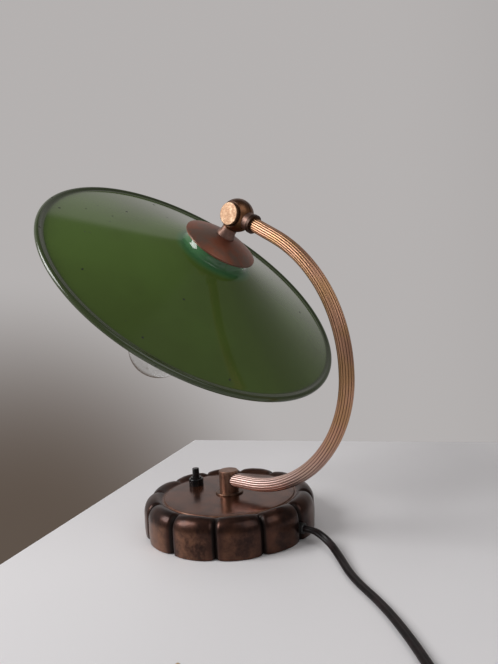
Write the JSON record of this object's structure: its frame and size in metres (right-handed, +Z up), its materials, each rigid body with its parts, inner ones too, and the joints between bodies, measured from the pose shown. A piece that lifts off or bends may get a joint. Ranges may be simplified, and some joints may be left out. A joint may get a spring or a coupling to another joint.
{
  "type": "desk lamp",
  "caption": "Desk lamp: lobed copper base with push switch, reeded bent arm, ball knuckle that tilts a shallow enamelled shade, screw lamp holder with bulb, mains cord and plug.",
  "frame": {"origin": "centre of the round felt underside, on the table", "axes": "+Z up; the arm leans back to +Y and the shade hangs forward to -Y; the knuckle turns about X"},
  "size_m": [0.3485, 0.4099, 0.3208],
  "materials": {
    "patina_copper": "dark copper patina under gloss lacquer",
    "post_copper": "satin copper",
    "arm_copper": "polished, worn copper reeds",
    "aged_brass": "dark aged brass, satin",
    "bright_brass": "polished brass with fine pits",
    "cast_iron": "raw casting",
    "zinc_steel": "zinc plated",
    "enamel": "olive-green glossy enamel outside, white enamel inside",
    "felt": "dark green felt",
    "fibre": "pressed fibre friction disc",
    "bakelite": "black bakelite, glossy",
    "porcelain": "glazed porcelain",
    "contact_brass": "bare brass",
    "lamp_cap_metal": "bare thin aluminium",
    "lamp_black_glass": "black glass insulator",
    "clear_glass": "clear glass",
    "cord_brown": "dark brown cord",
    "cord_rubber": "black rubber"
  },
  "bodies": {
    "base": {"base_shell": "patina_copper", "felt_pad": "felt", "bottom_plate": "zinc_steel", "ballast": "cast_iron", "post_collar": "post_copper", "post": "post_copper", "clamp_pipe": "zinc_steel", "clamp_washer": "zinc_steel", "clamp_nut": "zinc_steel", "arm_tube": "arm_copper", "arm_flex": "cord_brown", "knuckle_arm_half": "aged_brass", "knuckle_screw": "bright_brass", "knuckle_nut": "bright_brass", "friction_disc": "fibre", "switch_body": "bakelite", "switch_collar": "bakelite", "switch_spring": "zinc_steel", "switch_terminals": "contact_brass", "cord_bush": "cord_rubber", "inner_cord": "cord_brown", "cord_lead": "cord_brown", "cord_coil": "cord_brown", "cord_tail": "cord_brown", "plug_body": "bakelite", "plug_pins": "contact_brass"},
    "switch_button": {"push_button": "bakelite"},
    "shade_head": {"knuckle_shade_half": "aged_brass", "canopy": "aged_brass", "shade_spacer": "aged_brass", "shade": "enamel", "shade_pipe": "zinc_steel", "shade_nut": "zinc_steel", "shade_flex": "cord_brown", "holder_cap": "bakelite", "holder_sleeve": "bakelite", "holder_insert": "porcelain", "thread_shell": "contact_brass", "middle_contact": "contact_brass", "lamp_cap": "lamp_cap_metal", "lamp_insulator": "lamp_black_glass", "lamp_tip": "contact_brass", "lamp_glass": "clear_glass", "lamp_stem": "clear_glass", "lamp_filament": "zinc_steel"}
  },
  "joints": [
    {"name": "shade_tilt", "type": "hinge", "parent": "base", "child": "shade_head", "pos_m": [0, 0.02699, 0.26914], "axis": [1, 0, 0], "range_deg": [-60, 12]},
    {"name": "switch_press", "type": "slide", "parent": "base", "child": "switch_button", "axis": [0, 0, -1], "range_m": [0, 0.003], "stiffness_N_per_m": 500, "springref_m": -0.002}
  ]
}
